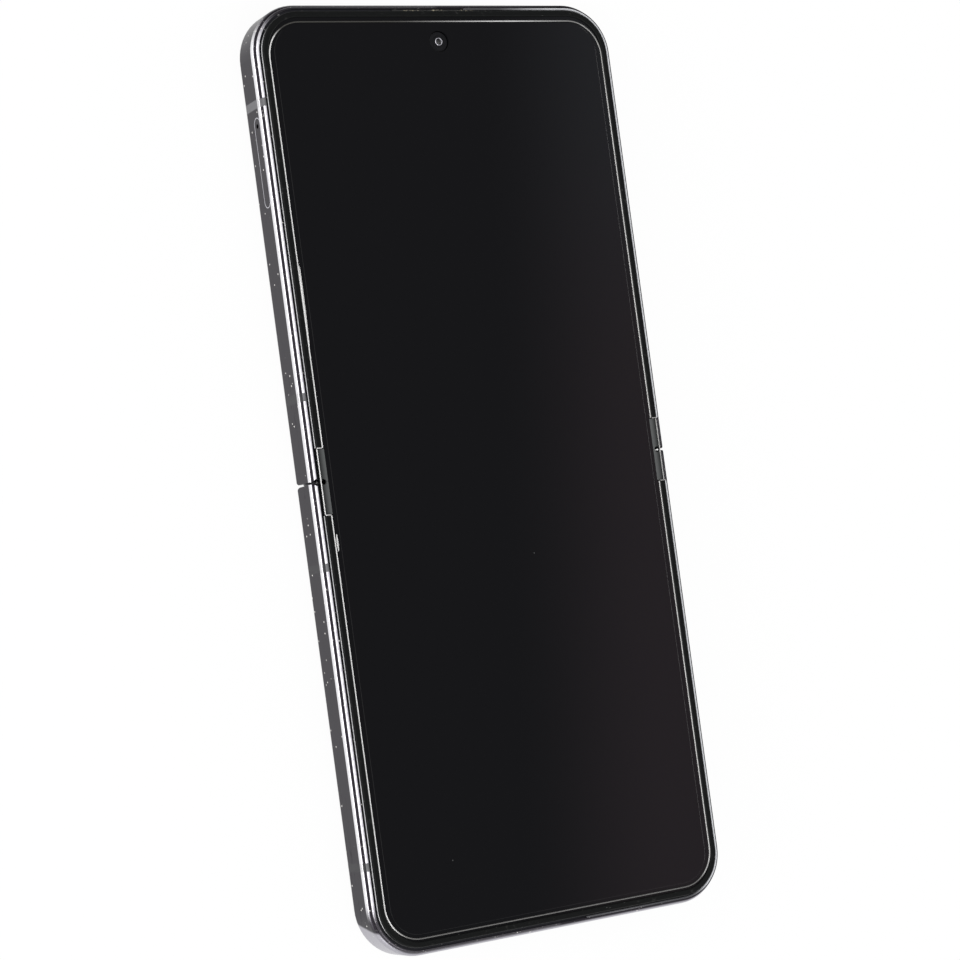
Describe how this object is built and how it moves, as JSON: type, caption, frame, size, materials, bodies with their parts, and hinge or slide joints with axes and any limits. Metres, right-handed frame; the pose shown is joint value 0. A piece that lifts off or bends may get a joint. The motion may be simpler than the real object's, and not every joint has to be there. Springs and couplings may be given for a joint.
{
  "type": "foldable smartphone",
  "caption": "Clamshell foldable phone, open flat: two framed halves, a bending display, a geared dual-axis hinge, pull-out card tray, sprung keys.",
  "frame": {"origin": "centre of the open phone's footprint, on the surface that it lies on, which the rear camera rings touch; the back glass is 0.9 mm above it", "axes": "+Z out of the display, +Y along the length towards the half with the cameras, +X towards the key side; the fold runs along X at y = 0"},
  "size_m": [0.0722, 0.165, 0.0084],
  "materials": {
    "rail_metal": "satin anodised graphite",
    "antenna_plastic": "moulded, flush with the rail",
    "back_glass": "matte coated from behind, opaque",
    "display": "glossy cover film over thin glass",
    "rim_plastic": "soft matte black",
    "strip_plastic": "matte grey, flexible",
    "cell_foil": "wrapped laminate foil",
    "board": "solder mask",
    "flex_film": "polyimide film",
    "coil_copper": "enamelled copper",
    "steel": "stamped and turned steel",
    "idler_brass": "sintered, bright",
    "spine_metal": "satin dark graphite",
    "module_plastic": "moulded black",
    "key_metal": "satin with a flush sensor face",
    "ring_metal": "bright-cut edge",
    "lens_glass": "coated, clear",
    "flash_lens": "milky",
    "card_plastic": "blank card with contacts"
  },
  "bodies": {
    "lower_half": {"lower_frame": "rail_metal", "lower_back_glass": "back_glass", "lower_display": "display", "lower_rim": "rim_plastic", "display_fold_lower": "display", "lower_fold_strips": "strip_plastic", "lower_battery": "cell_foil", "lower_board": "board", "usb_c_port": "steel", "loudspeaker": "module_plastic", "vibration_motor": "steel", "wireless_coil": "coil_copper", "lower_antenna_bands": "antenna_plastic", "left_lower_arm": "steel", "right_lower_arm": "steel", "lower_arm_screws": "steel", "interconnect_lower": "flex_film"},
    "lower_wing": {"lower_wing": "steel"},
    "hinge_spine": {"hinge_spine": "spine_metal", "left_bracket": "steel", "right_bracket": "steel", "left_hinge_pins": "steel", "right_hinge_pins": "steel", "left_washers": "steel", "right_washers": "steel"},
    "left_lower_idler": {"left_lower_idler": "idler_brass"},
    "left_upper_idler": {"left_upper_idler": "idler_brass"},
    "right_lower_idler": {"right_lower_idler": "idler_brass"},
    "right_upper_idler": {"right_upper_idler": "idler_brass"},
    "upper_half": {"upper_frame": "rail_metal", "upper_back_glass": "back_glass", "cover_display": "display", "upper_display": "display", "upper_rim": "rim_plastic", "display_fold_upper": "display", "upper_fold_strips": "strip_plastic", "upper_battery": "cell_foil", "main_board": "board", "shield_can": "steel", "sim_reader": "steel", "key_switches": "flex_film", "front_camera": "module_plastic", "earpiece": "module_plastic", "wide_camera": "module_plastic", "ultrawide_camera": "module_plastic", "camera_rings": "ring_metal", "camera_lenses": "lens_glass", "flash": "flash_lens", "upper_antenna_bands": "antenna_plastic", "left_upper_arm": "steel", "right_upper_arm": "steel", "upper_arm_screws": "steel", "interconnect_upper": "flex_film"},
    "upper_wing": {"upper_wing": "steel"},
    "sim_tray": {"sim_tray": "rail_metal", "nano_sim": "card_plastic"},
    "power_key": {"power_key": "key_metal"},
    "volume_key": {"volume_key": "rail_metal"}
  },
  "joints": [
    {"name": "fold_lower", "type": "hinge", "parent": "lower_half", "child": "hinge_spine", "pos_m": [0, -0.00205, 0.0064], "axis": [1, 0, 0], "range_deg": [0, 90], "deforming": ["display_fold_lower", "lower_fold_strips", "interconnect_lower"]},
    {"name": "fold_upper", "type": "hinge", "parent": "hinge_spine", "child": "upper_half", "pos_m": [0, 0.00205, 0.0064], "axis": [1, 0, 0], "range_deg": [0, 90], "deforming": ["display_fold_upper", "upper_fold_strips", "interconnect_upper"]},
    {"name": "lower_wing_tilt", "type": "hinge", "parent": "lower_half", "child": "lower_wing", "pos_m": [0, -0.00785, 0.00695], "axis": [-1, 0, 0], "range_deg": [0, 13.5]},
    {"name": "upper_wing_tilt", "type": "hinge", "parent": "upper_half", "child": "upper_wing", "pos_m": [0, 0.00785, 0.00695], "axis": [1, 0, 0], "range_deg": [0, 13.5]},
    {"name": "tray_slide", "type": "slide", "parent": "upper_half", "child": "sim_tray", "axis": [-1, 0, 0], "range_m": [0, 0.023]},
    {"name": "power_key_press", "type": "slide", "parent": "upper_half", "child": "power_key", "axis": [-1, 0, 0], "range_m": [0, 0.00025], "stiffness_N_per_m": 1000},
    {"name": "volume_key_rock", "type": "hinge", "parent": "upper_half", "child": "volume_key", "pos_m": [0.0341, 0.05, 0.00435], "axis": [0, 0, 1], "range_deg": [-1.2, 1.2], "stiffness_Nm_per_rad": 0.05},
    {"name": "left_lower_idler_spin", "type": "hinge", "parent": "hinge_spine", "child": "left_lower_idler", "pos_m": [0, -0.0011, 0.00466], "axis": [1, 0, 0], "range_deg": [0, 72]},
    {"name": "left_upper_idler_spin", "type": "hinge", "parent": "hinge_spine", "child": "left_upper_idler", "pos_m": [0, 0.0011, 0.00466], "axis": [-1, 0, 0], "range_deg": [0, 72]},
    {"name": "right_lower_idler_spin", "type": "hinge", "parent": "hinge_spine", "child": "right_lower_idler", "pos_m": [0, -0.0011, 0.00466], "axis": [1, 0, 0], "range_deg": [0, 72]},
    {"name": "right_upper_idler_spin", "type": "hinge", "parent": "hinge_spine", "child": "right_upper_idler", "pos_m": [0, 0.0011, 0.00466], "axis": [-1, 0, 0], "range_deg": [0, 72]}
  ],
  "couplings": [
    {"joint": "fold_upper", "follows": "fold_lower", "ratio": 1},
    {"joint": "lower_wing_tilt", "follows": "fold_lower", "ratio": 0.15},
    {"joint": "upper_wing_tilt", "follows": "fold_lower", "ratio": 0.15},
    {"joint": "left_lower_idler_spin", "follows": "fold_lower", "ratio": 0.8},
    {"joint": "left_upper_idler_spin", "follows": "fold_lower", "ratio": 0.8},
    {"joint": "right_lower_idler_spin", "follows": "fold_lower", "ratio": 0.8},
    {"joint": "right_upper_idler_spin", "follows": "fold_lower", "ratio": 0.8}
  ]
}
